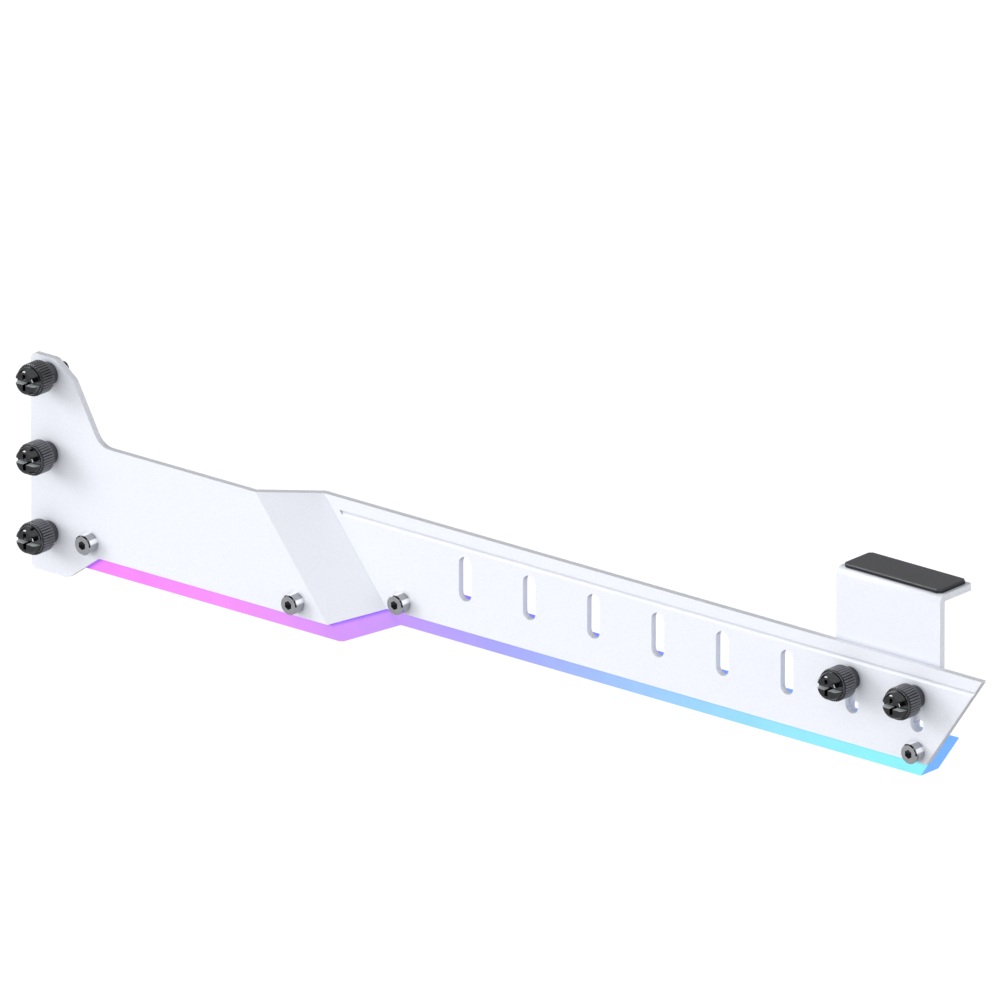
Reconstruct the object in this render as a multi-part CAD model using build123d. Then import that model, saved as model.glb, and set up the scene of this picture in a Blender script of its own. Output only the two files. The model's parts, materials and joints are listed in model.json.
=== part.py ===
from build123d import *
from math import cos, radians, sin, tan
import os

# Graphics card support bracket, in millimetres.
# Origin: the middle mounting screw's axis, on the plate's back face.
# +X runs along the plate, +Y away from its front face, +Z up.

# sheet steel of the plate and the arm
sheet = 1.7
bend_inner = 0.2
bend_outer = 0.4
edge_round = 0.25

# case slots that the flange is screwed to
slot_pitch = 20.32

# mounting flange, measured from the middle screw
flange_left = 5.8
flange_up = 24.4
flange_down = 30.8
flange_corner = 1.6
flange_top_right = 1.9
flange_shoulder_x = 7.65
flange_shoulder_z = 20.1
flange_shoulder_round = 2.5
flange_foot_x = 16.0
flange_foot_round = 5.0
flange_low_x = 5.9
flange_low_foot_x = 15.6

# beam of the plate
beam_top = 5.05
beam_left_bottom = -23.6
beam_right_bottom = -19.9
beam_tip_x = 282.4
tip_slant = 34.4

# slanted double fold
fold_slant = 38.2
fold_x = 65.1
jog_depth = 10.0
jog_bend = 44.0

# long slots that carry the arm, spaced back from the slanted end
slot_from_tip = 12.0
slot_from_fold = 30.0
slot_step = 20.0
slot_width = 3.95
slot_length = 11.3
slot_z = -6.6

# shallow groove under the top edge, with a sloping lower wall
groove_down = 3.1
groove_width = 1.25
groove_depth = 0.55
groove_floor = 0.55
groove_from_fold = 1.8

# thumbscrews: axial sizes run forward from the seat under the collar
thumb_collar_r = 2.9
thumb_collar_h = 2.6
thumb_knurl_r = 4.1
thumb_knurl_h = 4.25
thumb_ridges = 28
thumb_ridge_depth = 0.25
thumb_nose_base_r = 3.6
thumb_nose_r = 3.1
thumb_nose_h = 2.4
thumb_nose_round = 0.45
thumb_slot_width = 1.25
thumb_slot_depth = 1.9
thumb_cross_width = 0.95
thumb_cross_length = 4.1
thumb_cross_depth = 2.8

# screw threads, smooth at their outer size
mount_thread_r = 1.75
mount_thread_free = 4.3
mount_neck_extra = 0.3
arm_thread_r = 1.5
arm_thread_out = 2.2
arm_neck_relief = 0.15
shank_clearance = 0.08

# support arm
arm_width = 32.0
arm_shelf_top = 22.9
arm_shelf_reach = 12.0
arm_slot_pair = (-2, -1)
arm_offset_x = -0.3
arm_screw_z = -3.3
arm_row_drop = 8.0
arm_foot_below_row = 2.4
arm_corner = 0.8

# rubber pad on the shelf
pad_length = 30.0
pad_depth = 10.5
pad_height = 1.05
pad_setback = 1.0
pad_corner = 1.0
pad_edge = 0.3

# light bar behind the plate
bar_depth = 6.6
bar_wall = 1.2
bar_left_bottom = -27.7
bar_left_height = 10.15
bar_right_bottom = -23.8
bar_right_height = 9.3
bar_left_x = 9.0
bar_short_of_tip = 0.3
cover_height_rebate = 0.5
cover_thickness = 1.2
cover_clearance = 0.1
lead_hole_from_end = 7.5
lead_hole_length = 5.0
lead_hole_width = 2.6

# screws that hold the light bar
bar_screw_head_r = 2.5
bar_screw_head_h = 3.1
bar_screw_head_edge = 0.3
bar_screw_hex = 2.0
bar_screw_hex_depth = 1.7
bar_screw_r = 1.25
bar_screw_length = 6.0
bar_screw_hole_gap = 0.1
bar_screw_down = 2.5
bar_screw_from_end = 3.9
bar_screw_before_fold = 6.9
bar_screw_past_fold = 7.2
bar_screw_from_tip = 4.9
boss_size = 4.0
boss_bore_spare = 0.3

# board and LEDs inside the bar
board_thickness = 0.5
board_width = 2.8
board_lift = 0.2
board_end_gap = 2.0
led_size = 2.0
led_height = 0.85
led_window = 1.5
led_window_depth = 0.25
led_step = 16.6

# values worked out from the sizes above
slant = tan(radians(fold_slant))
fold_normal = (cos(radians(fold_slant)), sin(radians(fold_slant)))
fold_direction = (-fold_normal[1], 0, fold_normal[0])
jog_run = jog_depth / tan(radians(jog_bend))
far_fold_x = fold_x + jog_run / fold_normal[0]
front_left = -sheet
front_right = front_left + jog_depth
back_right = front_right + sheet
tip_rate = tan(radians(tip_slant))
bar_left_top = bar_left_bottom + bar_left_height
bar_right_top = bar_right_bottom + bar_right_height
bar_front = sheet
bar_back = sheet + bar_depth
arm_back = back_right + sheet
arm_foot = arm_screw_z - arm_row_drop - arm_foot_below_row
reach = 2 * beam_tip_x


def fold_at(z, first_x):
    """X of a fold line of the front face at height z, from its X at the beam's top."""
    return first_x + (beam_top - z) * slant


def tip_at(z):
    """X of the plate's slanted right end at height z."""
    return beam_tip_x - (beam_top - z) * tip_rate


def slot_places():
    """X of each slot from left to right, as many as fit between the fold and the slanted end."""
    last = tip_at(slot_z) - slot_from_tip
    room = last - fold_at(slot_z, far_fold_x) - slot_from_fold
    count = int(room // slot_step) + 1
    return [last - slot_step * (count - 1 - k) for k in range(count)]


def jog_line(offset):
    """Path of the folded sheet at a distance behind its front face, across the fold lines."""
    mitre = offset * tan(radians(jog_bend / 2))
    near = fold_x * fold_normal[0] + beam_top * fold_normal[1] - mitre
    far = near + jog_run
    level = front_left + offset
    radii = [0, bend_inner, bend_outer, 0] if offset else [0, bend_outer, bend_inner, 0]
    points = [(-reach, level), (near, level), (far, level + jog_depth), (reach, level + jog_depth)]
    return points, radii


def jog_sheet(low, high):
    """Endless folded layer between two distances behind the front face."""
    near_points, near_radii = jog_line(low)
    far_points, far_radii = jog_line(high)
    radii = near_radii + far_radii[::-1]
    ring = FilletPolyline(*near_points, *reversed(far_points), radius=radii, close=True)
    across = Plane((0, 0, 0), x_dir=(fold_normal[0], 0, fold_normal[1]), z_dir=fold_direction)
    return extrude(across * make_face(ring), amount=reach, both=True)


def front_prism(face):
    """Solid of a front outline, as long front to back as the bracket needs."""
    return extrude(Plane.XZ * face, amount=reach, both=True)


def outline(points, radii):
    """Face with rounded corners from its points in the front view."""
    return make_face(FilletPolyline(*points, radius=radii, close=True))


def disc(radius, x, z):
    """Round front outline at a place."""
    return Pos(x, z) * Circle(radius)


def turned(steps):
    """Turned solid from (radius, distance forward) steps, standing along -Y."""
    profile = make_face(Polyline(*[(r, -forward) for r, forward in steps], close=True))
    return revolve(profile, Axis.Y)


def plate_outline():
    """Front outline of the flange and the beam."""
    corners = [
        ((-flange_left, flange_up), flange_corner),
        ((flange_top_right, flange_up), flange_shoulder_round),
        ((flange_shoulder_x, flange_shoulder_z), flange_shoulder_round),
        ((flange_foot_x, beam_top), flange_foot_round),
        ((beam_tip_x, beam_top), edge_round),
        ((tip_at(beam_right_bottom), beam_right_bottom), edge_round),
        ((fold_at(beam_right_bottom, far_fold_x), beam_right_bottom), 0),
        ((fold_at(beam_left_bottom, fold_x), beam_left_bottom), 0),
        ((flange_low_foot_x, beam_left_bottom), flange_shoulder_round),
        ((flange_low_x, -flange_down), flange_shoulder_round),
        ((-flange_left, -flange_down), flange_corner),
    ]
    return outline([point for point, _ in corners], [radius for _, radius in corners])


def groove_cutter():
    """Shallow groove with a sloping lower wall, from beside the fold out of the slanted end."""
    top = beam_top - groove_down
    start = far_fold_x + groove_from_fold / fold_normal[0]
    low = top - groove_width
    points = [
        (fold_at(top, start), top), (beam_tip_x, top), (beam_tip_x, low), (fold_at(low, start), low),
    ]
    section = [
        (0, top), (front_right + groove_depth, top), (front_right + groove_depth, top - groove_floor),
        (front_right, low), (0, low),
    ]
    run = extrude(Plane.YZ * outline(section, [0] * len(section)), amount=reach)
    return run & front_prism(outline(points, [0] * len(points)))


def bar_screw_places():
    """Name, X, Z and seat Y of each screw of the light bar."""
    left_z = bar_left_top - bar_screw_down
    right_z = bar_right_top - bar_screw_down
    places = [
        (bar_left_x + bar_screw_from_end, left_z, front_left),
        (fold_at(left_z, fold_x) - bar_screw_before_fold, left_z, front_left),
        (fold_at(right_z, far_fold_x) + bar_screw_past_fold, right_z, front_right),
        (tip_at(right_z) - bar_screw_from_tip, right_z, front_right),
    ]
    return [(f"light_bar_screw_{k + 1}", *place) for k, place in enumerate(places)]


def mount_screw_places():
    """Name and Z of each mounting thumbscrew."""
    steps = {"top": 1, "middle": 0, "bottom": -1}
    return [(f"mount_thumbscrew_{name}", k * slot_pitch) for name, k in steps.items()]


def make_plate():
    """Folded sheet with its screw holes, slots and groove."""
    neck_hole_r = mount_thread_r + mount_neck_extra + shank_clearance
    holes = [disc(neck_hole_r, 0, z) for _, z in mount_screw_places()]
    holes += [disc(bar_screw_r + bar_screw_hole_gap, x, z) for _, x, z, _ in bar_screw_places()]
    holes += [Pos(x, slot_z) * Rot(0, 0, 90) * SlotOverall(slot_length, slot_width) for x in slot_places()]
    plate = jog_sheet(0, sheet) & front_prism(plate_outline())
    plate = plate - front_prism(Sketch() + holes)
    return plate - groove_cutter()


def arm_screw_places():
    """X of the two screws that clamp the arm."""
    return [slot_places()[k] + arm_offset_x for k in arm_slot_pair]


def arm_middle():
    """X of the arm's middle."""
    return sum(arm_screw_places()) / len(arm_slot_pair)


def make_arm():
    """L of sheet steel with two rows of tapped holes in its leg."""
    outer = bend_inner + sheet
    shelf_end = back_right + arm_shelf_reach
    points = [
        (back_right, arm_foot), (back_right, arm_shelf_top), (shelf_end, arm_shelf_top),
        (shelf_end, arm_shelf_top - sheet), (arm_back, arm_shelf_top - sheet), (arm_back, arm_foot),
    ]
    side = outline(points, [0, outer, 0, 0, bend_inner, 0])
    arm = extrude(Plane.YZ.offset(arm_middle()) * side, amount=arm_width / 2, both=True)
    shelf_corners = arm.edges().filter_by(Axis.Z).group_by(Axis.Y)[-1]
    foot_corners = arm.edges().filter_by(Axis.Y).group_by(Axis.Z)[0]
    arm = fillet(shelf_corners + foot_corners, arm_corner)
    rows = [arm_screw_z, arm_screw_z - arm_row_drop]
    holes = [disc(arm_thread_r + shank_clearance, x, z) for x in arm_screw_places() for z in rows]
    return arm - front_prism(Sketch() + holes)


def make_pad():
    """Rubber pad with cut corners and a bevelled top edge."""
    centre = (arm_middle(), back_right + pad_setback + pad_depth / 2, arm_shelf_top + pad_height / 2)
    pad = Pos(*centre) * Box(pad_length, pad_depth, pad_height)
    pad = chamfer(pad.edges().filter_by(Axis.Z), pad_corner)
    return chamfer(pad.faces().sort_by(Axis.Z)[-1].edges(), pad_edge)


def thumbscrew(thread_r, neck_r, neck_length, thread_length):
    """Knurled thumbscrew with a slot and cross recess, its collar seated at Y = 0."""
    end = -neck_length - thread_length
    knurl_top = thumb_collar_h + thumb_knurl_h
    tip = knurl_top + thumb_nose_h
    shank = turned([
        (0, end), (thread_r, end), (thread_r, -neck_length), (neck_r, -neck_length), (neck_r, 0),
        (thumb_collar_r, 0), (thumb_collar_r, thumb_collar_h), (0, thumb_collar_h),
    ])
    nose = turned([
        (0, knurl_top), (thumb_nose_base_r, knurl_top), (thumb_nose_r, tip - thumb_nose_round),
        (thumb_nose_r - thumb_nose_round, tip), (0, tip),
    ])
    star = []
    for k in range(2 * thumb_ridges):
        turn = radians(180 * k / thumb_ridges)
        radius = thumb_knurl_r - thumb_ridge_depth * (k % 2)
        star.append((radius * cos(turn), radius * sin(turn)))
    rim = make_face(Polyline(*star, close=True))
    knurl = extrude(Plane.XZ.offset(thumb_collar_h) * rim, amount=thumb_knurl_h)
    across = 2 * thumb_knurl_r
    slot = Pos(0, thumb_slot_depth / 2 - tip, 0) * Box(across, thumb_slot_depth, thumb_slot_width)
    cross_size = (thumb_cross_width, thumb_cross_depth, thumb_cross_length)
    cross = Pos(0, thumb_cross_depth / 2 - tip, 0) * Box(*cross_size)
    return shank + knurl + nose - slot - cross


def bar_screw():
    """Hex-socket screw with its head seated at Y = 0."""
    edge = bar_screw_head_edge
    screw = turned([
        (0, -bar_screw_length), (bar_screw_r, -bar_screw_length), (bar_screw_r, 0), (bar_screw_head_r, 0),
        (bar_screw_head_r, bar_screw_head_h - edge), (bar_screw_head_r - edge, bar_screw_head_h),
        (0, bar_screw_head_h),
    ])
    hexagon = RegularPolygon(bar_screw_hex / 2, 6, major_radius=False, rotation=30)
    floor = Plane.XZ.offset(bar_screw_head_h - bar_screw_hex_depth)
    socket = extrude(floor * hexagon, amount=bar_screw_hex_depth)
    return screw - socket


def bar_outline(inset, end_inset):
    """Front outline of the light bar, drawn in by an inset and by another at its two ends."""
    left_bottom = bar_left_bottom + inset
    right_bottom = bar_right_bottom + inset
    left_top = bar_left_top - inset
    right_top = bar_right_top - inset
    end = bar_short_of_tip + end_inset / cos(radians(tip_slant))
    points = [
        (bar_left_x + end_inset, left_bottom), (bar_left_x + end_inset, left_top),
        (fold_at(left_top, fold_x), left_top), (fold_at(right_top, far_fold_x), right_top),
        (tip_at(right_top) - end, right_top), (tip_at(right_bottom) - end, right_bottom),
        (fold_at(right_bottom, far_fold_x), right_bottom), (fold_at(left_bottom, fold_x), left_bottom),
    ]
    return outline(points, [0] * len(points))


def bar_layer(low, high, inset):
    """Layer of the light bar between two distances behind the plate's front face."""
    return jog_sheet(low, high) & front_prism(bar_outline(inset, inset))


def make_diffuser():
    """Translucent channel, open at the back, with a boss for each screw."""
    cover_seat = bar_back - cover_thickness
    shell = bar_layer(bar_front, bar_back, 0)
    shell -= bar_layer(cover_seat, bar_back + bend_inner, bar_wall - cover_height_rebate)
    cavity = bar_layer(bar_front + bar_wall, cover_seat + bend_inner, bar_wall)
    bosses = [Pos(x, z) * Rectangle(boss_size, boss_size) for _, x, z, _ in bar_screw_places()]
    bores = [disc(bar_screw_r + shank_clearance, x, z) for _, x, z, _ in bar_screw_places()]
    shell -= cavity - front_prism(Sketch() + bosses)
    bore_end = bar_screw_length + boss_bore_spare
    return shell - (jog_sheet(0, bore_end) & front_prism(Sketch() + bores))


def make_cover():
    """Back cover in the diffuser's rebate, with the outlet for the lead."""
    inset = bar_wall - cover_height_rebate + cover_clearance
    cover = bar_layer(bar_back - cover_thickness, bar_back, inset)
    centre = (bar_left_x + lead_hole_from_end, (bar_left_bottom + bar_left_top) / 2)
    hole = Pos(*centre) * SlotOverall(lead_hole_length, lead_hole_width)
    return cover - front_prism(Sketch() + [hole])


def board_strip(width_low, width_high, end_gap):
    """Outline of a strip along the bar's lower inside wall."""
    left = bar_left_bottom + bar_wall + board_lift
    right = bar_right_bottom + bar_wall + board_lift
    points = [
        (bar_left_x + end_gap, left + width_low), (bar_left_x + end_gap, left + width_high),
        (fold_at(left + width_high, fold_x), left + width_high),
        (fold_at(right + width_high, far_fold_x), right + width_high),
        (tip_at(right + width_high) - end_gap, right + width_high),
        (tip_at(right + width_low) - end_gap, right + width_low),
        (fold_at(right + width_low, far_fold_x), right + width_low),
        (fold_at(left + width_low, fold_x), left + width_low),
    ]
    return outline(points, [0] * len(points))


def make_board():
    """Narrow folded board on the cover's inner face."""
    back = bar_back - cover_thickness
    strip = board_strip(0, board_width, board_end_gap)
    return jog_sheet(back - board_thickness, back) & front_prism(strip)


def led_places():
    """X, Z and back Y of each LED."""
    seat = bar_back - cover_thickness - board_thickness
    middle = bar_wall + board_lift + board_width / 2
    left_start = bar_left_x + board_end_gap + led_step / 2
    right_end = tip_at(bar_right_bottom) - board_end_gap - led_step / 2
    left_room = fold_at(bar_left_top, fold_x) - left_start
    right_room = right_end - fold_at(bar_right_bottom, far_fold_x) - bar_depth
    left = [(left_start + led_step * k, bar_left_bottom + middle, front_left + seat)
            for k in range(int(left_room // led_step) + 1)]
    right = [(right_end - led_step * k, bar_right_bottom + middle, front_right + seat)
             for k in range(int(right_room // led_step) + 1)]
    return left + right[::-1]


def make_led(x, z, back):
    """LED package with its square window sunk in the front face."""
    front = back - led_height
    body = Pos(x, back - led_height / 2, z) * Box(led_size, led_height, led_size)
    return body - Pos(x, front + led_window_depth / 2, z) * Box(led_window, led_window_depth, led_window)


def save(shape, node):
    """Write one node's STEP file."""
    export_step(shape, f"parts/{node}.step")


os.makedirs("parts", exist_ok=True)
save(make_plate(), "main_plate")
save(make_arm(), "support_arm")
save(make_pad(), "support_pad")
mount_screw = thumbscrew(mount_thread_r, mount_thread_r + mount_neck_extra, sheet, mount_thread_free)
for node, z in mount_screw_places():
    save(Pos(0, front_left, z) * mount_screw, node)
arm_screw = thumbscrew(arm_thread_r, arm_thread_r - arm_neck_relief, sheet, sheet + arm_thread_out)
for side, x in zip(("left", "right"), arm_screw_places()):
    save(Pos(x, front_right, arm_screw_z) * arm_screw, f"arm_thumbscrew_{side}")
socket_screw = bar_screw()
for node, x, z, seat in bar_screw_places():
    save(Pos(x, seat, z) * socket_screw, node)
save(make_diffuser(), "light_diffuser")
save(make_cover(), "light_bar_back_cover")
save(make_board(), "led_board")
for number, (x, z, back) in enumerate(led_places(), 1):
    save(make_led(x, z, back), f"led_{number:02d}")
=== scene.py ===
import json
import math
import bmesh
import bpy
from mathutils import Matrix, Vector


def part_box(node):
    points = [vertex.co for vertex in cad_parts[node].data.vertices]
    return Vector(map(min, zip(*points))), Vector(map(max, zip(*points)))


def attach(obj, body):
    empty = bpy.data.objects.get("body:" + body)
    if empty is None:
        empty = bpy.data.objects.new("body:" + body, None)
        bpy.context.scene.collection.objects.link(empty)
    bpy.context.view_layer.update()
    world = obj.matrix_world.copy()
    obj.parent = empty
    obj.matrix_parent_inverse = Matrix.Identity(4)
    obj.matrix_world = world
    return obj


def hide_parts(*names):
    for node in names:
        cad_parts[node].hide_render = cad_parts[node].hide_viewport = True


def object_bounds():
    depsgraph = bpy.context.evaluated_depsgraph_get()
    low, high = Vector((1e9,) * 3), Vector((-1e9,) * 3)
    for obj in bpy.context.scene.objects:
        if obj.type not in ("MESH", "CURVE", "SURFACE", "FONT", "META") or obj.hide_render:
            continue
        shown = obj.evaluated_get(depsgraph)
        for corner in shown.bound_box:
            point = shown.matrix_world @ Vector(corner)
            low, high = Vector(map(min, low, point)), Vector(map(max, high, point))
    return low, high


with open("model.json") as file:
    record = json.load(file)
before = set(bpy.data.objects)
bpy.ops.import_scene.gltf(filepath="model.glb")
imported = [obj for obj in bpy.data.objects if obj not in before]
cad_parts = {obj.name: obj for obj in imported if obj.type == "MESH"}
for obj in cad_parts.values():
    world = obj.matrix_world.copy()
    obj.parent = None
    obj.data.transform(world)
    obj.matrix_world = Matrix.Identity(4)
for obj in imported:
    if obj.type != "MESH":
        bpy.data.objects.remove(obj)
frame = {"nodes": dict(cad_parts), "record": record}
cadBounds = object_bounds()
print("frame loaded:", len(frame["nodes"]), "nodes")

mm = 0.001


def srgbToLinear(hexText):
    channels = [int(hexText[k:k + 2], 16) / 255 for k in (1, 3, 5)]
    return (*[c / 12.92 if c <= 0.04045 else ((c + 0.055) / 1.055) ** 2.4 for c in channels], 1.0)


# adds one node: settings are its options and fixed inputs, links are inputs that take a socket or a value
def addNode(tree, kind, settings=None, links=None):
    node = tree.nodes.new("ShaderNode" + kind)
    for key, value in (settings or {}).items():
        if isinstance(key, str) and hasattr(node, key):
            setattr(node, key, value)
        else:
            node.inputs[key].default_value = value
    for key, value in (links or {}).items():
        if isinstance(value, bpy.types.NodeSocket):
            tree.links.new(value, node.inputs[key])
        else:
            node.inputs[key].default_value = value
    return node


def newMaterial(name):
    material = bpy.data.materials.new(name)
    material.use_nodes = True
    tree = material.node_tree
    tree.nodes.clear()
    return material, tree


def setStops(ramp, stops):
    elements = ramp.color_ramp.elements
    while len(elements) < len(stops):
        elements.new(0.5)
    for element, (place, hexText) in zip(elements, stops):
        element.position = place
        element.color = srgbToLinear(hexText)
    return ramp.outputs["Color"]


# a colour that wavers between a finish's dark and light, between the two heights of noise given
def darkToLight(finish, start, end):
    return [(start, finish["dark"]), (end, finish["light"])]


# settings of a smooth rise from 0 at start to level at end
def smoothRise(start, end, level=1.0):
    return {"interpolation_type": "SMOOTHSTEP", "From Min": start, "From Max": end, "To Max": level}


# settings that let a value waver about its middle, by so much down and up
def waver(middle, down, up):
    return {"To Min": middle - down, "To Max": middle + up}


# a mix of colours takes its share on input 0 and the colours on 6 and 7, and gives its result on output 2
blend = {"data_type": "RGBA", "blend_type": "MIX"}
tint = {"data_type": "RGBA", "blend_type": "MULTIPLY"}
multiply, add, absolute = {"operation": "MULTIPLY"}, {"operation": "ADD"}, {"operation": "ABSOLUTE"}
larger, exceeds, along = {"operation": "MAXIMUM"}, {"operation": "GREATER_THAN"}, {"operation": "DOT_PRODUCT"}


# thumbscrews: sizes in mm, forward from the seat of the collar; the knurl and thread are real shapes here
thumbscrew = {
    "collarR": 2.9, "collarEnd": 2.6, "collarChamfer": 0.12,
    "knurlR": 4.1, "knurlEnd": 6.85, "knurlChamfer": 0.25, "knurlStepIn": 0.12,
    "ridges": 36, "ridgeDepth": 0.24,
    "ridgeFlat": 0.35, "ridgeFlank": 0.6,           # shares of half a ridge
    "ringR": 3.8, "ringStart": 6.88, "ringEnd": 7.3,
    "noseBaseR": 3.5, "noseStart": 7.31, "noseR": 3.1, "noseChamfer": 0.45, "noseEnd": 9.25,
    "slotWidth": 1.25, "slotDepth": 1.9,
    "crossWidth": 0.95, "crossLength": 4.1, "crossDepth": 2.8,
    "crestShare": 0.2, "leadIn": 0.36,              # the thread's flat crest, and the drop at its first turn
    "segmentsPerRidge": 10, "ringsPerPitch": 10, "sharpDeg": 38,
}
mountStud = {
    "neckR": 2.05, "neckLength": 1.7,
    "threadR": 1.75, "threadEnd": -6.0, "pitch": 0.794, "threadDepth": 0.42,
}
armStud = {
    "neckR": 1.35, "neckLength": 1.7,
    "threadR": 1.5, "threadEnd": -5.6, "pitch": 0.5, "threadDepth": 0.28,
}


# white powder coat: polyester powder sprayed dry on steel and baked,
# which leaves a satin white with a fine pebbled grain
powderCoat = {
    "light": "#F5F8FF", "dark": "#F0F3FD",
    "grainMm": 0.3, "pebbleMm": 0.9, "pebbleShare": 0.35,
    "roughness": 0.4,
    "bumpMm": 0.006, "bumpStrength": 0.35,
    "crevice": "#DBDDE7", "creviceMm": 1.2,         # less light reaches the corners and the groove
}
# painted shade: cut edges that face up and down are painted darker, as less light falls on them; share of the
# colour kept by those edges
plateEdgeShade = {"up": 0.88, "down": 0.7}
armEdgeShade = {"up": 1.0, "down": 1.0}


def powderCoatMaterial(name, edges):
    material, tree = newMaterial(name)
    place = addNode(tree, "TexCoord").outputs["Object"]
    grainScale, pebbleScale = 1 / (powderCoat["grainMm"] * mm), 1 / (powderCoat["pebbleMm"] * mm)
    grain = addNode(tree, "TexNoise", {"Scale": grainScale, "Detail": 2.0}, {"Vector": place}).outputs["Fac"]
    pebble = addNode(tree, "TexNoise", {"Scale": pebbleScale, "Detail": 1.0}, {"Vector": place})
    heights = {0: pebble.outputs["Fac"], 1: powderCoat["pebbleShare"], 2: grain}
    height = addNode(tree, "Math", {"operation": "MULTIPLY_ADD"}, heights)
    colour = setStops(addNode(tree, "ValToRGB", {}, {"Fac": grain}), darkToLight(powderCoat, 0.35, 0.62))
    openness = addNode(tree, "AmbientOcclusion", {"Distance": powderCoat["creviceMm"] * mm, "samples": 8})
    closed = addNode(tree, "MapRange", {"From Min": 0.95, "From Max": 0.5}, {"Value": openness.outputs["AO"]})
    colour = addNode(tree, "Mix", blend, {
        0: closed.outputs["Result"], 6: colour, 7: srgbToLinear(powderCoat["crevice"])}).outputs[2]
    facing = addNode(tree, "SeparateXYZ", {}, {"Vector": addNode(tree, "NewGeometry").outputs["Normal"]})
    sideways = addNode(tree, "Math", absolute, {0: facing.outputs["Y"]})
    onEdge = addNode(tree, "MapRange", smoothRise(0.45, 0.2), {"Value": sideways.outputs["Value"]})
    # painted shade on edges that face up and down
    for shadeKept, start, end in ((edges["up"], 0.75, 0.95), (edges["down"], -0.1, -0.5)):
        tilt = addNode(tree, "MapRange", smoothRise(start, end), {"Value": facing.outputs["Z"]})
        share = addNode(tree, "Math", multiply, {0: onEdge.outputs["Result"], 1: tilt.outputs["Result"]})
        colour = addNode(tree, "Mix", tint, {
            0: share.outputs["Value"], 6: colour, 7: (shadeKept, shadeKept, shadeKept, 1.0)}).outputs[2]
    bumpSettings = {"Strength": powderCoat["bumpStrength"], "Distance": powderCoat["bumpMm"] * mm}
    bump = addNode(tree, "Bump", bumpSettings, {"Height": height.outputs["Value"]})
    rough = addNode(tree, "MapRange", waver(powderCoat["roughness"], 0.06, 0.08), {"Value": grain})
    shader = addNode(tree, "BsdfPrincipled", {"IOR": 1.5}, {
        "Base Color": colour, "Roughness": rough.outputs["Result"], "Normal": bump.outputs["Normal"]})
    addNode(tree, "OutputMaterial", {}, {"Surface": shader.outputs["BSDF"]})
    return material


# black nickel: turned brass or steel plated in a barrel,
# a dark mirror with faint tool marks that keeps sharp white highlights
blackNickel = {
    "light": "#626366", "dark": "#57585B",
    "toolMarkMm": 0.5,                              # real marks are finer: these are coarse enough to show
    "roughness": 0.1,
    # painted highlight: the knurl takes a lighter nickel
    "crest": "#77787B",
    "knurlRoughness": 0.3, "grooveShade": 0.16,     # the cut knurl is satin, and its grooves are painted darker as shade
    "grooveMm": 0.18,
}


def blackNickelMaterial():
    material, tree = newMaterial("blackNickelPlatedSteel")
    place = addNode(tree, "TexCoord").outputs["Object"]
    markScale = 1 / (blackNickel["toolMarkMm"] * mm)
    marks = addNode(tree, "TexNoise", {"Scale": markScale, "Detail": 2.0}, {"Vector": place}).outputs["Fac"]
    colour = setStops(addNode(tree, "ValToRGB", {}, {"Fac": marks}), darkToLight(blackNickel, 0.35, 0.65))
    rough = addNode(tree, "MapRange", waver(blackNickel["roughness"], 0.03, 0.03), {"Value": marks})
    axes = addNode(tree, "SeparateXYZ", {}, {"Vector": place}).outputs
    squareX = addNode(tree, "Math", multiply, {0: axes["X"], 1: axes["X"]})
    squareZ = addNode(tree, "Math", multiply, {0: axes["Z"], 1: axes["Z"]})
    squares = addNode(tree, "Math", add, {0: squareX.outputs["Value"], 1: squareZ.outputs["Value"]})
    radius = addNode(tree, "Math", {"operation": "SQRT"}, {0: squares.outputs["Value"]}).outputs["Value"]
    # the knurl is what stands outside its grooves' foot and behind its front end
    foot, clear = thumbscrew["knurlR"] - thumbscrew["ridgeDepth"], 0.02
    outside = addNode(tree, "Math", exceeds, {0: radius, 1: (foot - clear) * mm})
    behind = addNode(tree, "Math", exceeds, {0: axes["Y"], 1: -(thumbscrew["knurlEnd"] + clear / 2) * mm})
    knurl = addNode(tree, "Math", multiply, {0: outside.outputs["Value"], 1: behind.outputs["Value"]})
    grooveSpan = {"From Min": (foot + blackNickel["grooveMm"]) * mm, "From Max": foot * mm}
    groove = addNode(tree, "MapRange", grooveSpan, {"Value": radius})
    # painted highlight over the knurl, then painted shade in its grooves
    crestHighlighted = addNode(tree, "Mix", blend, {
        0: knurl.outputs["Value"], 6: colour, 7: srgbToLinear(blackNickel["crest"])})
    inGroove = addNode(tree, "Math", multiply, {0: groove.outputs["Result"], 1: knurl.outputs["Value"]})
    shade = addNode(tree, "Mix", tint, {
        0: inGroove.outputs["Value"], 6: crestHighlighted.outputs[2], 7: (blackNickel["grooveShade"],) * 3 + (1.0,)})
    satin = addNode(tree, "Math", multiply, {0: knurl.outputs["Value"], 1: blackNickel["knurlRoughness"]})
    rougher = addNode(tree, "Math", larger, {0: rough.outputs["Result"], 1: satin.outputs["Value"]})
    shader = addNode(tree, "BsdfPrincipled", {"Metallic": 1.0}, {
        "Base Color": shade.outputs[2], "Roughness": rougher.outputs["Value"]})
    addNode(tree, "OutputMaterial", {}, {"Surface": shader.outputs["BSDF"]})
    return material


# painted light: the driver slot's two walls are painted a light, satin grey that stands for the light they
# reflect, against the dark nickel round them
slotWallLight = {"light": "#D6DBDC", "dark": "#C4CACC", "toolMarkMm": 0.12, "roughness": 0.5, "metallic": 0.2}


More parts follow.
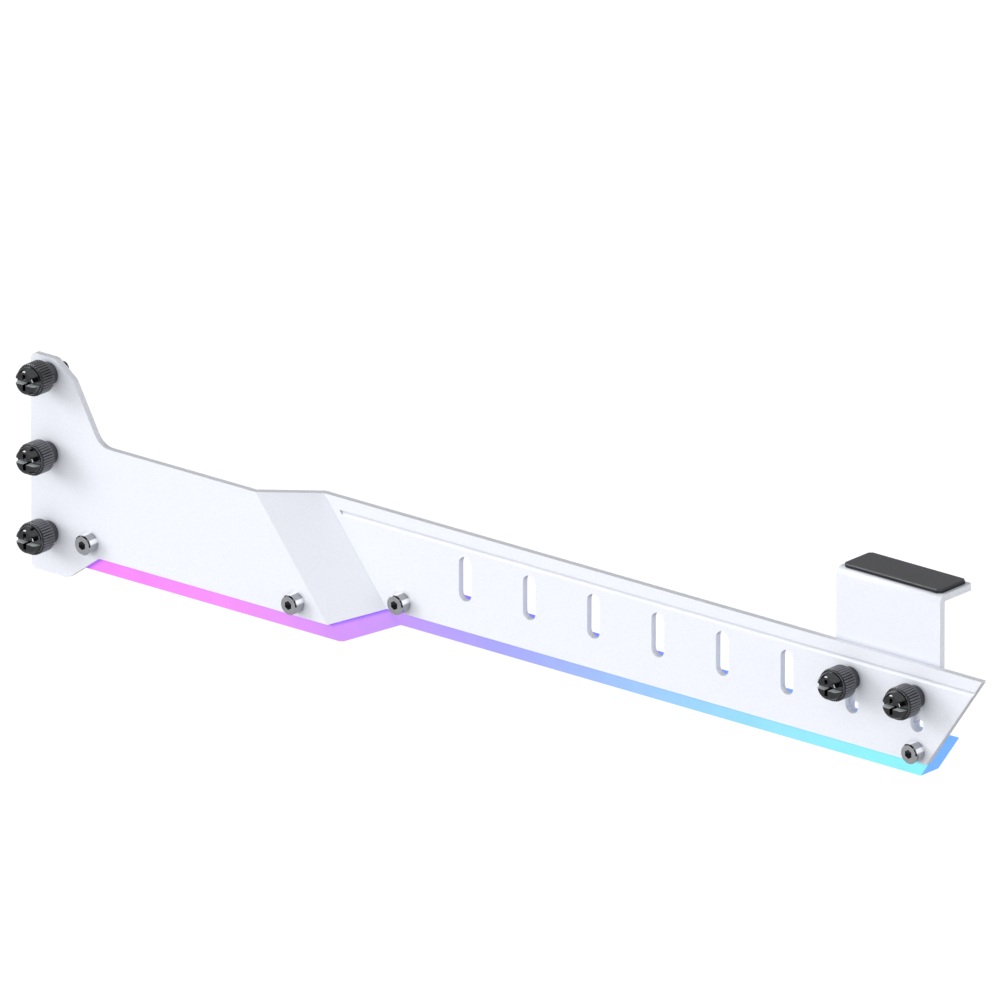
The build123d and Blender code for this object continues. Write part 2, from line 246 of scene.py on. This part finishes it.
def slotWallLightMaterial():
    material, tree = newMaterial("slotWallPaintedLight")
    place = addNode(tree, "TexCoord").outputs["Object"]
    marks = addNode(tree, "TexNoise", {"Scale": 1 / (slotWallLight["toolMarkMm"] * mm)}, {"Vector": place})
    ramp = addNode(tree, "ValToRGB", {}, {"Fac": marks.outputs["Fac"]})
    colour = setStops(ramp, darkToLight(slotWallLight, 0.4, 0.6))
    finish = {"Metallic": slotWallLight["metallic"], "Roughness": slotWallLight["roughness"]}
    shader = addNode(tree, "BsdfPrincipled", finish, {"Base Color": colour})
    addNode(tree, "OutputMaterial", {}, {"Surface": shader.outputs["BSDF"]})
    return material


# chrome: bright plating over a turned steel head, a grey mirror with clean edges
chromePlate = {
    "light": "#E3E5EA", "dark": "#D9DCE2",
    "sideBands": [                                  # painted reflection on the head's side: share of a turn, colour
        (0.525, "#B2B3B7"), (0.545, "#FFFFFF"), (0.600, "#FFFFFF"), (0.615, "#ABACB0"), (0.720, "#ABACB0"),
        (0.735, "#FFFFFF"), (0.840, "#FFFFFF"), (0.860, "#B2B3B7"),
    ],
    "chamferReflectionBands": [                               # painted reflection on the chamfer, of the dark between the lamps
        (0.490, "#DCDEE3"), (0.500, "#1C1C1E"), (0.595, "#1C1C1E"), (0.605, "#A2A3A8"), (0.640, "#A2A3A8"),
        (0.650, "#1C1C1E"), (0.780, "#1C1C1E"), (0.800, "#DCDEE3"),
    ],
    "stainMm": 1.2,
    "roughness": 0.06,
    "socket": "#86878A", "socketMm": 1.6,           # painted shade: the chrome is greyed down the hex recess
}


def chromeMaterial():
    material, tree = newMaterial("chromePlatedSteel")
    place = addNode(tree, "TexCoord").outputs["Object"]
    stainScale = 1 / (chromePlate["stainMm"] * mm)
    stain = addNode(tree, "TexNoise", {"Scale": stainScale, "Detail": 2.0}, {"Vector": place}).outputs["Fac"]
    colour = setStops(addNode(tree, "ValToRGB", {}, {"Fac": stain}), darkToLight(chromePlate, 0.35, 0.65))
    rough = addNode(tree, "MapRange", waver(chromePlate["roughness"], 0.02, 0.02), {"Value": stain})
    # painted shade where the head hides itself, down its hex recess
    reach = {"Distance": chromePlate["socketMm"] * mm, "samples": 8, "only_local": True}
    hidden = addNode(tree, "AmbientOcclusion", reach)
    inSocketShade = addNode(tree, "MapRange", {"From Min": 0.75, "From Max": 0.55}, {"Value": hidden.outputs["AO"]})
    normal = addNode(tree, "NewGeometry").outputs["Normal"]
    facing = addNode(tree, "SeparateXYZ", {}, {"Vector": normal}).outputs
    forward = addNode(tree, "Math", absolute, {0: facing["Y"]}).outputs["Value"]
    # painted reflection: the side and chamfer take bands of colour by which way they face
    turn = addNode(tree, "Math", {"operation": "ARCTAN2"}, {0: facing["Z"], 1: facing["X"]})
    part = addNode(tree, "Math", {"operation": "DIVIDE"}, {0: turn.outputs["Value"], 1: 2 * math.pi})
    share = addNode(tree, "Math", add, {0: part.outputs["Value"], 1: 0.5}).outputs["Value"]
    chamferReflection = setStops(addNode(tree, "ValToRGB", {}, {"Fac": share}), chromePlate["chamferReflectionBands"])
    onChamfer = addNode(tree, "MapRange", smoothRise(0.95, 0.85), {"Value": forward})
    withChamferReflection = addNode(tree, "Mix", blend, {0: onChamfer.outputs["Result"], 6: colour, 7: chamferReflection})
    side = setStops(addNode(tree, "ValToRGB", {}, {"Fac": share}), chromePlate["sideBands"])
    onPaintedSide = addNode(tree, "MapRange", smoothRise(0.5, 0.3), {"Value": forward})
    withSideReflection = addNode(tree, "Mix", blend, {0: onPaintedSide.outputs["Result"], 6: withChamferReflection.outputs[2], 7: side})
    # painted shade down the hex recess, over the banded chrome
    dark = addNode(tree, "Mix", blend, {
        0: inSocketShade.outputs["Result"], 6: withSideReflection.outputs[2], 7: srgbToLinear(chromePlate["socket"])})
    shader = addNode(tree, "BsdfPrincipled", {"Metallic": 1.0}, {
        "Base Color": dark.outputs[2], "Roughness": rough.outputs["Result"]})
    addNode(tree, "OutputMaterial", {}, {"Surface": shader.outputs["BSDF"]})
    return material


# nitrile rubber: moulded pad, matt charcoal with a fine mould grain
padRubber = {
    "light": "#46474C", "dark": "#3B3C41",
    "side": "#1E1E21",                              # painted shade: its thin sides are painted darker, as less light falls on them
    "grainMm": 0.4,                                 # the real grain is finer: this is coarse enough to show
    "roughness": 0.45,
    "bumpMm": 0.01, "bumpStrength": 0.5,
}


def rubberMaterial():
    material, tree = newMaterial("mouldedNitrileRubber")
    place = addNode(tree, "TexCoord").outputs["Object"]
    grainScale = 1 / (padRubber["grainMm"] * mm)
    grain = addNode(tree, "TexNoise", {"Scale": grainScale, "Detail": 3.0}, {"Vector": place}).outputs["Fac"]
    faces = setStops(addNode(tree, "ValToRGB", {}, {"Fac": grain}), darkToLight(padRubber, 0.3, 0.7))
    facing = addNode(tree, "SeparateXYZ", {}, {"Vector": addNode(tree, "NewGeometry").outputs["Normal"]})
    # painted shade on the pad's thin sides
    onPaintedSide = addNode(tree, "MapRange", smoothRise(0.45, 0.1), {"Value": facing.outputs["Z"]})
    colour = addNode(tree, "Mix", blend, {
        0: onPaintedSide.outputs["Result"], 6: faces, 7: srgbToLinear(padRubber["side"])})
    bumpSettings = {"Strength": padRubber["bumpStrength"], "Distance": padRubber["bumpMm"] * mm}
    bump = addNode(tree, "Bump", bumpSettings, {"Height": grain})
    shader = addNode(tree, "BsdfPrincipled", {"Roughness": padRubber["roughness"], "IOR": 1.52}, {
        "Base Color": colour.outputs[2], "Normal": bump.outputs["Normal"]})
    addNode(tree, "OutputMaterial", {}, {"Surface": shader.outputs["BSDF"]})
    return material


# opal acrylic lit from inside: moulded light guide, an even glow that runs from magenta to cyan along the bar
# and turns deeper on its ends and top, with painted shade where other parts crowd it
lightGuide = {
    "glow": [                                       # mm along the bar, colour
        (10, "#FF88FF"), (24, "#FF8AFF"), (58, "#FD93FF"), (89, "#DA95FF"), (109, "#BF9EFF"),
        (131, "#ACA9FF"), (162, "#A3C3FF"), (193, "#9CD9FF"), (224, "#96EEFF"), (249, "#8EFAFF"),
    ],
    "glowSpan": 280,
    "unlit": "#303038",
    "sideTint": "#B4B0FF",
    # painted shade: the glow is tinted darker where other parts crowd the bar
    "paintedShadeTint": "#9A86FF", "paintedShadeMm": 1.3, "paintedShadeShare": 0.85,
    "strength": 0.93, "cloudMm": 6.0,
    "roughness": 0.3,
}


def lightGuideMaterial():
    material, tree = newMaterial("litOpalAcrylic")
    place = addNode(tree, "TexCoord").outputs["Object"]
    axisX = addNode(tree, "SeparateXYZ", {}, {"Vector": place}).outputs["X"]
    distance = addNode(tree, "MapRange", {"From Max": lightGuide["glowSpan"] * mm}, {"Value": axisX})
    stops = [(x / lightGuide["glowSpan"], hexText) for x, hexText in lightGuide["glow"]]
    glow = setStops(addNode(tree, "ValToRGB", {}, {"Fac": distance.outputs["Result"]}), stops)
    facing = addNode(tree, "SeparateXYZ", {}, {"Vector": addNode(tree, "NewGeometry").outputs["Normal"]})
    clamped = {"operation": "MULTIPLY", "use_clamp": True}
    front = addNode(tree, "Math", clamped, {0: facing.outputs["Y"], 1: -1.0})
    aside = addNode(tree, "MapRange", smoothRise(0.68, 0.15), {"Value": front.outputs["Value"]})
    tinted = addNode(tree, "Mix", tint, {
        0: aside.outputs["Result"], 6: glow, 7: srgbToLinear(lightGuide["sideTint"])})
    # painted shade where other parts crowd the bar
    glowOcclusion = addNode(tree, "AmbientOcclusion", {"Distance": lightGuide["paintedShadeMm"] * mm, "samples": 8})
    paintedShadeSpan = {"From Min": 0.95, "From Max": 0.55, "To Max": lightGuide["paintedShadeShare"]}
    share = addNode(tree, "MapRange", paintedShadeSpan, {"Value": glowOcclusion.outputs["AO"]})
    withPaintedShade = addNode(tree, "Mix", tint, {
        0: share.outputs["Result"], 6: tinted.outputs[2], 7: srgbToLinear(lightGuide["paintedShadeTint"])})
    cloudScale = 1 / (lightGuide["cloudMm"] * mm)
    cloud = addNode(tree, "TexNoise", {"Scale": cloudScale, "Detail": 1.0}, {"Vector": place}).outputs["Fac"]
    strength = addNode(tree, "MapRange", waver(lightGuide["strength"], 0.05, 0.05), {"Value": cloud})
    shader = addNode(tree, "BsdfPrincipled", {"Roughness": lightGuide["roughness"], "IOR": 1.49}, {
        "Base Color": srgbToLinear(lightGuide["unlit"]),
        "Emission Color": withPaintedShade.outputs[2], "Emission Strength": strength.outputs["Result"]})
    addNode(tree, "OutputMaterial", {}, {"Surface": shader.outputs["BSDF"]})
    return material


# white ABS: moulded back cover with a light spark-eroded grain
coverAbs = {
    "light": "#EEEFF3", "dark": "#E9EAEE",
    "grainMm": 0.5,                                 # coarser than the real grain too
    "roughness": 0.55,
    "bumpMm": 0.006, "bumpStrength": 0.4,
}


def absMaterial():
    material, tree = newMaterial("mouldedWhiteAbs")
    place = addNode(tree, "TexCoord").outputs["Object"]
    grainScale = 1 / (coverAbs["grainMm"] * mm)
    grain = addNode(tree, "TexNoise", {"Scale": grainScale, "Detail": 2.0}, {"Vector": place}).outputs["Fac"]
    colour = setStops(addNode(tree, "ValToRGB", {}, {"Fac": grain}), darkToLight(coverAbs, 0.35, 0.65))
    bumpSettings = {"Strength": coverAbs["bumpStrength"], "Distance": coverAbs["bumpMm"] * mm}
    bump = addNode(tree, "Bump", bumpSettings, {"Height": grain})
    shader = addNode(tree, "BsdfPrincipled", {"Roughness": coverAbs["roughness"], "IOR": 1.53}, {
        "Base Color": colour, "Normal": bump.outputs["Normal"]})
    addNode(tree, "OutputMaterial", {}, {"Surface": shader.outputs["BSDF"]})
    return material


# FR4 with white solder mask: rolled glass laminate, smooth satin with copper traces showing faintly
ledBoard = {"mask": "#E8EAE6", "trace": "#D3D6CE", "traceMm": 0.9, "roughness": 0.42}


def boardMaterial():
    material, tree = newMaterial("whiteSolderMask")
    place = addNode(tree, "TexCoord").outputs["Object"]
    waveScale = 1 / (ledBoard["traceMm"] * mm) / 6.28  # a trace is half a wave, about 1 / 6.28 at scale 1
    traces = addNode(tree, "TexWave", {"bands_direction": "Z", "Scale": waveScale}, {"Vector": place})
    colour = setStops(addNode(tree, "ValToRGB", {}, {"Fac": traces.outputs["Fac"]}),
                      [(0.4, ledBoard["mask"]), (0.6, ledBoard["trace"])])
    shader = addNode(tree, "BsdfPrincipled", {"Roughness": ledBoard["roughness"]}, {"Base Color": colour})
    addNode(tree, "OutputMaterial", {}, {"Surface": shader.outputs["BSDF"]})
    return material


# LED package: white moulded frame round a clear yellowish silicone window
ledPackage = {"frame": "#F1F0EA", "window": "#F5E9A8", "cloudMm": 0.6, "roughness": 0.25}


def ledMaterial():
    material, tree = newMaterial("ledMouldAndSilicone")
    place = addNode(tree, "TexCoord").outputs["Object"]
    cloud = addNode(tree, "TexNoise", {"Scale": 1 / (ledPackage["cloudMm"] * mm)}, {"Vector": place})
    colour = setStops(addNode(tree, "ValToRGB", {}, {"Fac": cloud.outputs["Fac"]}),
                      [(0.4, ledPackage["frame"]), (0.6, ledPackage["window"])])
    finish = {"Roughness": ledPackage["roughness"], "IOR": 1.41}
    shader = addNode(tree, "BsdfPrincipled", finish, {"Base Color": colour})
    addNode(tree, "OutputMaterial", {}, {"Surface": shader.outputs["BSDF"]})
    return material


def knurlRadius(turn):
    phase = thumbscrew["ridges"] * turn / (2 * math.pi) % 1.0
    groove = min(1.0, max(0.0, (abs(2 * phase - 1) - thumbscrew["ridgeFlat"]) / thumbscrew["ridgeFlank"]))
    return thumbscrew["knurlR"] - thumbscrew["ridgeDepth"] * groove * groove * (3 - 2 * groove)


def threadRadius(stud, forward, turn):
    phase = (forward / stud["pitch"] - turn / (2 * math.pi)) % 1.0
    crest = abs(2 * phase - 1)                      # 1 on a crest, 0 in a root
    cut = stud["threadDepth"] * (1 - min(1.0, crest / (1 - thumbscrew["crestShare"])))
    turnsIn = (forward - stud["threadEnd"]) / stud["pitch"]
    return stud["threadR"] - cut - thumbscrew["leadIn"] * max(0.0, 1 - turnsIn)


# outline from the thread's end to the nose: (forward, radius, None), or which of the wavy radii it follows
def screwRings(stud):
    t = thumbscrew
    threadStart = -stud["neckLength"]
    threadLength = threadStart - stud["threadEnd"]
    steps = round(threadLength / stud["pitch"] * t["ringsPerPitch"])
    knurlInnerR = t["knurlR"] - t["ridgeDepth"] - t["knurlStepIn"]
    rings = [(stud["threadEnd"], 0.0, None)]
    rings += [(stud["threadEnd"] + threadLength * k / steps, None, "thread") for k in range(steps + 1)]
    rings += [
        (threadStart, stud["neckR"], None), (0.0, stud["neckR"], None),
        (0.0, t["collarR"] - t["collarChamfer"], None), (t["collarChamfer"], t["collarR"], None),
        (t["collarEnd"], t["collarR"], None), (t["collarEnd"], knurlInnerR, None),
        (t["collarEnd"] + t["knurlChamfer"], None, "knurl"),
        (t["knurlEnd"] - t["knurlChamfer"], None, "knurl"), (t["knurlEnd"], knurlInnerR, None),
        (t["ringStart"], t["ringR"], None), (t["ringEnd"], t["ringR"], None),
        (t["noseStart"], t["noseBaseR"], None), (t["noseEnd"] - t["noseChamfer"], t["noseR"], None),
        (t["noseEnd"], t["noseR"] - t["noseChamfer"], None), (t["noseEnd"], 0.0, None),
    ]
    return rings


def boxMesh(name, size, centre):
    mesh = bpy.data.meshes.new(name)
    bm = bmesh.new()
    bmesh.ops.create_cube(bm, size=1.0)
    for vertex in bm.verts:
        vertex.co = Vector([vertex.co[k] * size[k] + centre[k] for k in range(3)]) * mm
    bm.to_mesh(mesh)
    bm.free()
    return bpy.data.objects.new(name, mesh)


def latheMesh(name, stud):
    count = thumbscrew["ridges"] * thumbscrew["segmentsPerRidge"]
    turns = [2 * math.pi * k / count for k in range(count)]
    bm = bmesh.new()
    rows = []
    for forward, radius, kind in screwRings(stud):
        if radius == 0.0:
            rows.append([bm.verts.new((0, -forward * mm, 0))])
            continue
        radii = [radius] * count
        if kind == "knurl":
            radii = [knurlRadius(turn) for turn in turns]
        if kind == "thread":
            radii = [threadRadius(stud, forward, turn) for turn in turns]
        rows.append([bm.verts.new((r * math.cos(turn) * mm, -forward * mm, r * math.sin(turn) * mm))
                     for turn, r in zip(turns, radii)])
    for low, high in zip(rows, rows[1:]):
        for k in range(count):
            n = (k + 1) % count
            corners = [low[k % len(low)], low[n % len(low)], high[n % len(high)], high[k % len(high)]]
            bm.faces.new(list(dict.fromkeys(corners)))
    bmesh.ops.recalc_face_normals(bm, faces=bm.faces)
    mesh = bpy.data.meshes.new(name)
    bm.to_mesh(mesh)
    bm.free()
    return mesh


# the turned shape with the driver slot and the cross cut into its nose; the slot's walls take the second
# material, the painted light grey
def thumbscrewMesh(name, stud):
    t = thumbscrew
    holder = bpy.data.objects.new(name, latheMesh(name, stud))
    bpy.context.collection.objects.link(holder)
    past = 1.0                                      # how far the cutters stand out of the nose
    slotY, crossY = [-(t["noseEnd"] - depth / 2 + past / 2) for depth in (t["slotDepth"], t["crossDepth"])]
    cutters = [
        boxMesh("cutSlot", (4 * t["knurlR"], t["slotDepth"] + past, t["slotWidth"]), (0, slotY, 0)),
        boxMesh("cutCross", (t["crossWidth"], t["crossDepth"] + past, t["crossLength"]), (0, crossY, 0)),
    ]
    for cutter in cutters:
        bpy.context.collection.objects.link(cutter)
        cut = holder.modifiers.new("cut", "BOOLEAN")
        cut.operation = "DIFFERENCE"
        cut.object = cutter
    bpy.context.view_layer.update()
    mesh = bpy.data.meshes.new_from_object(holder.evaluated_get(bpy.context.evaluated_depsgraph_get()))
    for spare in [holder, *cutters]:
        bpy.data.objects.remove(spare)
    mesh.shade_smooth()
    mesh.set_sharp_from_angle(angle=math.radians(t["sharpDeg"]))
    halfSlot, slotFloor = (t["slotWidth"] / 2 + 0.02) * mm, (t["slotDepth"] - t["noseEnd"]) * mm
    for face in mesh.polygons:
        inSlot = abs(face.center.z) < halfSlot and face.center.y < slotFloor
        face.material_index = 1 if inSlot and abs(face.normal.z) > 0.9 else 0
    return mesh


# camera: long lens from the right and above, as in the photograph
camera = {
    "azimuthDeg": 40.0, "elevationDeg": 20.0, "lensMm": 1500.0, "sensorMm": 36.0,
    "frameWidth": 0.239, "target": (0.13300, 0.0087, 0.0160),
}


def makeCamera():
    data = bpy.data.cameras.new("camera")
    data.lens = camera["lensMm"]
    data.sensor_width = camera["sensorMm"]
    azimuth, elevation = math.radians(camera["azimuthDeg"]), math.radians(camera["elevationDeg"])
    level = math.cos(elevation)
    back = Vector((math.sin(azimuth) * level, -math.cos(azimuth) * level, math.sin(elevation)))
    distance = camera["frameWidth"] / camera["sensorMm"] * camera["lensMm"]
    data.clip_start = 0.1
    data.clip_end = 3 * distance
    holder = bpy.data.objects.new("camera", data)
    holder.location = Vector(camera["target"]) + back * distance
    holder.rotation_mode = "QUATERNION"
    holder.rotation_quaternion = (-back).to_track_quat("-Z", "Y")
    bpy.context.collection.objects.link(holder)
    bpy.context.scene.camera = holder


# studio: white room, a large soft key from the left front and a softer fill from the right;
# shiny surfaces mirror the key but not the fill
studio = {
    "roomLevel": 0.12, "frontLevel": 1.33, "frontTowards": (-0.2, -0.97, 0.1),
    "back": {"from": 0.6, "to": 1.0, "level": 1.2},
    "lights": [
        {"name": "keySoftbox", "from": (-0.78, -0.62, 0.34), "distance": 3.0, "size": 1.4, "watts": 28.5,
         "mirrored": True},
        {"name": "fillSoftbox", "from": (0.96, -0.1, 0.2), "distance": 3.0, "size": 1.5, "watts": 18.5,
         "mirrored": False},
    ],
    "floorDrop": 0.12, "floorSize": 30.0, "floorSeen": 1.1, "floorMirrored": 0.42,
    "floorGlow": 0.95,                              # share of the floor's look that is plain white
    "paperLevel": 0.95,
    "white": "#FFFFFF",
}

# what shiny surfaces mirror: a dark room with a white ceiling, a pale back wall,
# a bright lamp high on the left and a tall one, made of two, on the right
mirrored = {
    "dark": 0.03,
    "ceiling": {"from": 0.5, "to": 0.68, "level": 0.6},
    "backWall": {"from": 0.05, "to": 0.45, "level": 0.45},
    "lamps": [
        {"towards": (-0.66, -0.33, 0.67), "innerDeg": 12, "outerDeg": 15, "level": 10.0},
        {"towards": (0.67, -0.69, 0.26), "innerDeg": 7, "outerDeg": 9, "level": 7.5},
        {"towards": (0.74, -0.67, 0.05), "innerDeg": 7, "outerDeg": 9, "level": 7.5},
    ],
}


def mirroredRoom(tree, towards, axes):
    level = mirrored["dark"]
    for wall, axis in ((mirrored["ceiling"], "Z"), (mirrored["backWall"], "Y")):
        rise = smoothRise(wall["from"], wall["to"], wall["level"])
        shown = addNode(tree, "MapRange", rise, {"Value": axes.outputs[axis]})
        level = addNode(tree, "Math", larger, {0: level, 1: shown.outputs["Result"]}).outputs["Value"]
    for lamp in mirrored["lamps"]:
        lampAxis = Vector(lamp["towards"]).normalized()
        beam = addNode(tree, "VectorMath", along, {0: towards, 1: lampAxis})
        inner, outer = math.cos(math.radians(lamp["innerDeg"])), math.cos(math.radians(lamp["outerDeg"]))
        rise = smoothRise(outer, inner, lamp["level"])
        shown = addNode(tree, "MapRange", rise, {"Value": beam.outputs["Value"]})
        level = addNode(tree, "Math", larger, {0: level, 1: shown.outputs["Result"]}).outputs["Value"]
    return level


# one level for plain light, one for mirrors and one for what the camera sees;
# the second result is 1 for plain light and 0 for the others
def chooseByRay(tree, plain, glossy, seen):
    rays = addNode(tree, "LightPath").outputs
    direct = addNode(tree, "Math", larger, {0: rays["Is Camera Ray"], 1: rays["Is Transmission Ray"]})
    notPlain = addNode(tree, "Math", larger, {0: direct.outputs["Value"], 1: rays["Is Glossy Ray"]})
    other = addNode(tree, "Math", {"operation": "SUBTRACT"}, {0: 1.0, 1: notPlain.outputs["Value"]})
    inMirror = addNode(tree, "Math", multiply, {0: rays["Is Glossy Ray"], 1: glossy})
    inView = addNode(tree, "Math", multiply, {0: direct.outputs["Value"], 1: seen})
    onObjects = addNode(tree, "Math", multiply, {0: other.outputs["Value"], 1: plain})
    both = addNode(tree, "Math", add, {0: inMirror.outputs["Value"], 1: inView.outputs["Value"]})
    level = addNode(tree, "Math", add, {0: both.outputs["Value"], 1: onObjects.outputs["Value"]})
    return level.outputs["Value"], other.outputs["Value"]


def makeRoom():
    world = bpy.data.worlds.new("studio")
    bpy.context.scene.world = world
    world.use_nodes = True
    tree = world.node_tree
    tree.nodes.clear()
    towards = addNode(tree, "TexCoord").outputs["Generated"]
    axes = addNode(tree, "SeparateXYZ", {}, {"Vector": towards})
    frontAxis = Vector(studio["frontTowards"]).normalized()
    ahead = addNode(tree, "VectorMath", along, {0: towards, 1: frontAxis})
    front = addNode(tree, "MapRange", {"To Max": studio["frontLevel"]}, {"Value": ahead.outputs["Value"]})
    back = studio["back"]
    rise = smoothRise(back["from"], back["to"], back["level"])
    behind = addNode(tree, "MapRange", rise, {"Value": axes.outputs["Y"]})
    walls = addNode(tree, "Math", add, {0: front.outputs["Result"], 1: behind.outputs["Result"]})
    soft = addNode(tree, "Math", add, {0: walls.outputs["Value"], 1: studio["roomLevel"]})
    strength, _ = chooseByRay(tree, soft.outputs["Value"], mirroredRoom(tree, towards, axes), 1.0)
    room = addNode(tree, "Background", {"Color": srgbToLinear(studio["white"])}, {"Strength": strength})
    addNode(tree, "OutputWorld", {}, {"Surface": room.outputs["Background"]})


def makeLights(centre):
    for spec in studio["lights"]:
        data = bpy.data.lights.new(spec["name"], "AREA")
        data.size = spec["size"]
        data.energy = spec["watts"]
        holder = bpy.data.objects.new(spec["name"], data)
        direction = Vector(spec["from"]).normalized()
        holder.location = centre + direction * spec["distance"]
        holder.rotation_mode = "QUATERNION"
        holder.rotation_quaternion = direction.to_track_quat("Z", "Y")
        holder.visible_glossy = spec["mirrored"]
        bpy.context.collection.objects.link(holder)


def makeFloor(lowest):
    half, height = studio["floorSize"] / 2, lowest - studio["floorDrop"]
    corners = [(x * half, y * half, height) for x, y in ((-1, -1), (1, -1), (1, 1), (-1, 1))]
    mesh = bpy.data.meshes.new("studioFloor")
    mesh.from_pydata(corners, [], [(0, 1, 2, 3)])
    floor = bpy.data.objects.new("studioFloor", mesh)
    bpy.context.collection.objects.link(floor)
    material, tree = newMaterial("whitePaperSweep")
    level, plainShare = chooseByRay(tree, 0.0, studio["floorMirrored"], studio["floorSeen"])
    paper = addNode(tree, "BsdfDiffuse", {"Color": (studio["paperLevel"],) * 3 + (1.0,)})
    glow = addNode(tree, "Emission", {"Color": srgbToLinear(studio["white"])}, {"Strength": level})
    share = addNode(tree, "MapRange", smoothRise(1.0, 0.0, studio["floorGlow"]), {"Value": plainShare})
    mixed = addNode(tree, "MixShader", {}, {
        0: share.outputs["Result"], 1: paper.outputs["BSDF"], 2: glow.outputs["Emission"]})
    addNode(tree, "OutputMaterial", {}, {"Surface": mixed.outputs["Shader"]})
    mesh.materials.append(material)


bpy.context.scene.view_settings.view_transform = "Standard"
low, high = cadBounds
makeCamera()
makeRoom()
makeLights((Vector(low) + Vector(high)) / 2)
makeFloor(low[2])
print("camera and studio made")

nodes = frame["nodes"]
finishes = [                                        # start of a node's name, its material
    ("main_plate", powderCoatMaterial("whitePowderCoatOnPlate", plateEdgeShade)),
    ("support_arm", powderCoatMaterial("whitePowderCoatOnArm", armEdgeShade)),
    ("support_pad", rubberMaterial()),
    ("light_diffuser", lightGuideMaterial()),
    ("light_bar_back_cover", absMaterial()),
    ("led_board", boardMaterial()),
    ("light_bar_screw_", chromeMaterial()),
    ("led_", ledMaterial()),
]
for name, node in nodes.items():
    for start, material in finishes:
        if name.startswith(start):
            node.data.materials.clear()
            node.data.materials.append(material)
            break
# painted sheet and mouldings have no knife edges: node, edge radius in mm
softEdges = {"main_plate": 0.3, "support_arm": 0.25, "light_diffuser": 0.3, "support_pad": 0.2}
foldDeg = 38                                        # corners sharper than this are edges to soften
for name, radius in softEdges.items():
    weld = nodes[name].modifiers.new("weld", "WELD")
    weld.merge_threshold = 0.0005 * mm
    soft = nodes[name].modifiers.new("softEdges", "BEVEL")
    soft.width = radius * mm
    soft.segments = 2
    soft.limit_method = "ANGLE"
    soft.angle_limit = math.radians(foldDeg)
    soft.harden_normals = True
    soft.use_clamp_overlap = True
print("materials and soft edges on the CAD nodes")

studs = {
    "mount": thumbscrewMesh("mountThumbscrewShape", mountStud),
    "arm": thumbscrewMesh("armThumbscrewShape", armStud),
}
nickel, slotWallLit = blackNickelMaterial(), slotWallLightMaterial()
for joint in frame["record"]["behaviour"]["joints"]:
    body = joint["child"]
    if "thumbscrew" not in body:
        continue
    kind = "mount" if body.startswith("mount") else "arm"
    shape = studs[kind].copy()
    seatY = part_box(body)[0][1] + thumbscrew["noseEnd"] * mm
    shape.materials.append(nickel)
    shape.materials.append(slotWallLit)
    piece = bpy.data.objects.new(body + "_detailed", shape)
    piece.location = (joint["pos_m"][0], seatY, joint["pos_m"][2])
    bpy.context.collection.objects.link(piece)
    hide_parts(body)
    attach(piece, body)
print("thumbscrews made")
